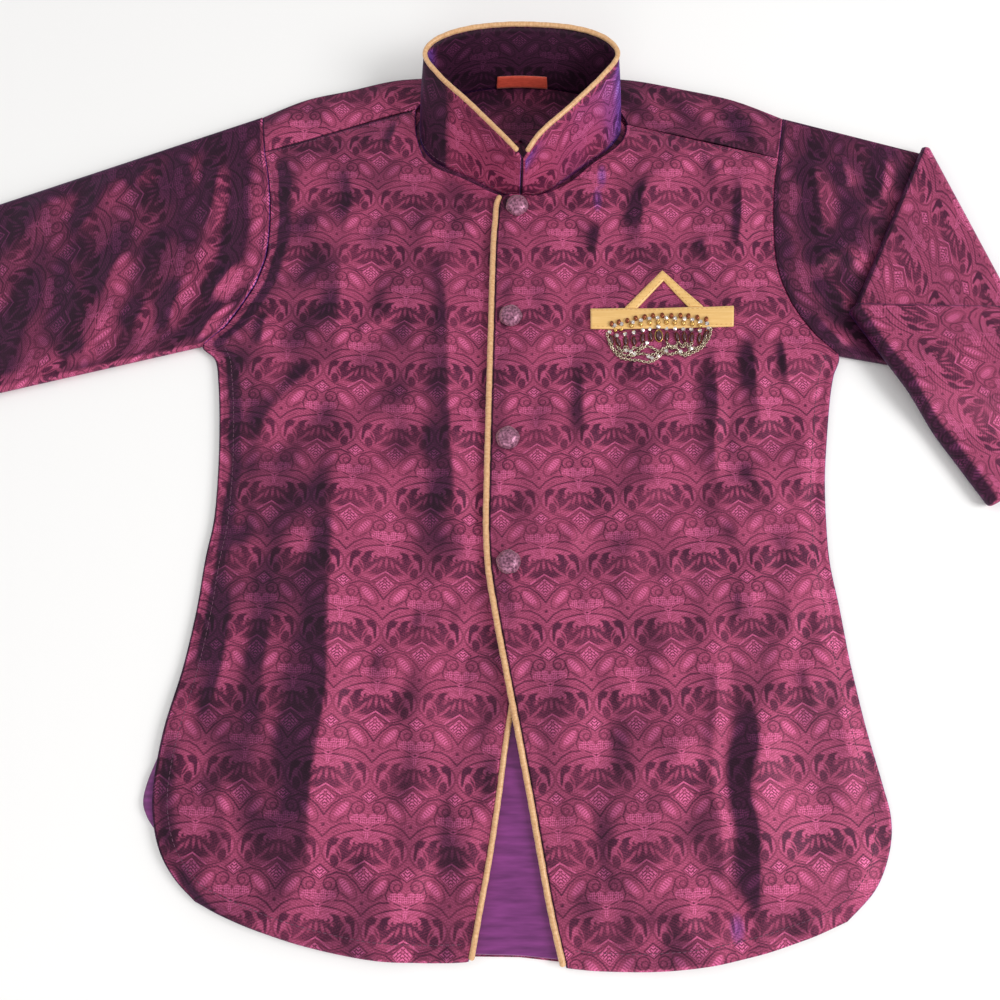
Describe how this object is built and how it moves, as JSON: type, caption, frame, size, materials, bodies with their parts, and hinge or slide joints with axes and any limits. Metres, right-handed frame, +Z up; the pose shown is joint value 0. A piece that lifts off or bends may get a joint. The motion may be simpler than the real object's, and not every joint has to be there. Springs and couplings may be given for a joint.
{
  "type": "sherwani coat",
  "caption": "Child's brocade sherwani coat laid flat, with a standing band collar, piped front edges, a jewelled chest pocket welt and one sleeve folded over.",
  "frame": {"origin": "on the underside of the back panel, on the coat's centre line at waist height, in the plane of the surface it lies on", "axes": "+Z up from the surface, +Y towards the collar, +X towards the wearer's left side"},
  "size_m": [0.835, 0.5243, 0.0432],
  "materials": {
    "brocade": "satin jacquard brocade, raspberry on dark plum, with a soft violet sheen",
    "lining": "satin lining, violet",
    "piping": "covered cord, gold-beige satin",
    "pocket_silk": "gold satin",
    "label": "plain woven tab, orange-red",
    "button_cloth": "cloth-covered button, mauve brocade",
    "jewel_metal": "small gilt settings, glass beads and rhinestones"
  },
  "bodies": {
    "root": {"back": "brocade", "back_lining": "lining", "neck_facing": "brocade", "label": "label", "front_right": "brocade", "front_left": "brocade", "front_right_piping": "piping", "front_left_piping": "piping", "yoke_right": "brocade", "yoke_left": "brocade", "collar": "brocade", "collar_piping": "piping", "sleeve_right": "brocade", "sleeve_left": "brocade", "button_1": "button_cloth", "button_2": "button_cloth", "button_3": "button_cloth", "button_4": "button_cloth", "pocket_welt": "pocket_silk", "pocket_point": "pocket_silk", "pocket_jewel": "jewel_metal"}
  },
  "joints": []
}
